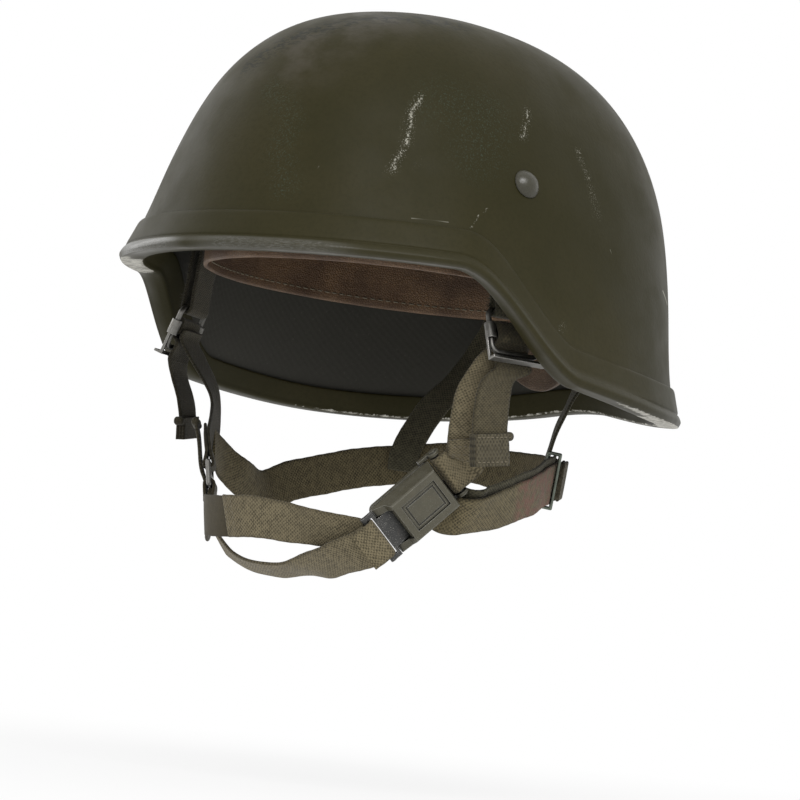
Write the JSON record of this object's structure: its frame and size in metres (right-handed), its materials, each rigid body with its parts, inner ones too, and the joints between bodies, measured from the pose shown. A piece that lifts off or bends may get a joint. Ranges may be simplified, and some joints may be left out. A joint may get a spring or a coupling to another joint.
{
  "type": "combat helmet",
  "caption": "Laminate combat helmet with flared edge, painted dark olive, leather suspension inside and a webbing chin harness with a side-release buckle, nape strap and wire slide adjusters.",
  "frame": {"origin": "middle of the head opening, 7.5 mm below the lowest edge of the ear pieces", "axes": "+Z towards the crown, -Y the way the wearer faces, +X the wearer's left"},
  "size_m": [0.2502, 0.2762, 0.2593],
  "materials": {
    "shell_paint": "non-reflective dark olive paint over laminate, chipped at the edge",
    "trim_paint": "moulded rubber edging painted with the shell, worn cream on its underside",
    "screw_paint": "painted steel with a worn dome",
    "washer_rubber": "matt black",
    "band_plastic": "moulded dark green-black",
    "liner_leather": "brown leather, darkened by use",
    "spring_steel": "plain spring steel",
    "wire_steel": "tarnished steel wire and pressed plate",
    "webbing": "woven cotton webbing, olive drab, worn",
    "buckle_paint": "grey-olive enamel worn bright on its ridges",
    "plug_steel": "dark blue-grey steel with pale dust"
  },
  "bodies": {
    "helmet": {"shell": "shell_paint", "rim_trim": "trim_paint", "liner_screws": "screw_paint", "liner_washers": "washer_rubber", "suspension_band": "band_plastic", "headband": "liner_leather", "headband_clips": "spring_steel", "crown_webbing": "webbing", "crown_pad": "liner_leather", "nape_pad": "liner_leather", "loop_rivets": "spring_steel", "left_anchor_loop": "webbing", "right_anchor_loop": "webbing", "left_strap": "webbing", "right_strap": "webbing", "buckle_base": "buckle_paint", "buckle_cover": "buckle_paint", "latch_spring": "spring_steel", "chin_yoke": "webbing", "chin_strap_upper": "webbing", "chin_strap_lower": "webbing", "junction_ring": "wire_steel", "cheek_tail": "webbing", "nape_strap": "webbing", "nape_strap_tail": "webbing", "rear_hangers": "webbing"},
    "left_frame_body": {"left_frame": "wire_steel"},
    "right_frame_body": {"right_frame": "wire_steel"},
    "left_bar_body": {"left_slide_bar": "wire_steel", "left_tail": "webbing"},
    "right_bar_body": {"right_slide_bar": "wire_steel", "right_tail": "webbing"},
    "button_body": {"release_button": "buckle_paint"},
    "plug_body": {"buckle_plug": "plug_steel"},
    "keeper_body": {"nape_keeper": "wire_steel"}
  },
  "joints": [
    {"name": "left_frame_swing", "type": "hinge", "parent": "helmet", "child": "left_frame_body", "pos_m": [0.09144, -0.02402, 0.041], "axis": [0.1924, 0.9813, 0], "range_deg": [-6, 8], "deforming": ["left_strap"]},
    {"name": "right_frame_swing", "type": "hinge", "parent": "helmet", "child": "right_frame_body", "pos_m": [-0.08518, -0.04518, 0.039], "axis": [-0.3683, 0.9297, 0], "range_deg": [-8, 6], "deforming": ["right_strap"]},
    {"name": "left_bar_slide", "type": "slide", "parent": "left_frame_body", "child": "left_bar_body", "axis": [-0.3356, 0.0658, 0.9397], "range_m": [-0.0022, 0.001], "deforming": ["left_strap"]},
    {"name": "right_bar_slide", "type": "slide", "parent": "right_frame_body", "child": "right_bar_body", "axis": [0.318, 0.126, 0.9397], "range_m": [-0.0022, 0.001], "deforming": ["right_strap"]},
    {"name": "release_button_press", "type": "slide", "parent": "helmet", "child": "button_body", "axis": [-0.8903, 0.4267, 0.159], "range_m": [0, 0.002], "stiffness_N_per_m": 600, "springref_m": -0.0015, "deforming": ["latch_spring"]},
    {"name": "plug_pull", "type": "slide", "parent": "helmet", "child": "plug_body", "axis": [-0.4, -0.5659, -0.7209], "range_m": [0, 0.025], "deforming": ["latch_spring", "chin_strap_upper", "chin_strap_lower"]},
    {"name": "nape_keeper_slide", "type": "slide", "parent": "helmet", "child": "keeper_body", "axis": [-0.4652, 0.8588, 0.2147], "range_m": [-0.003, 0.003]}
  ]
}
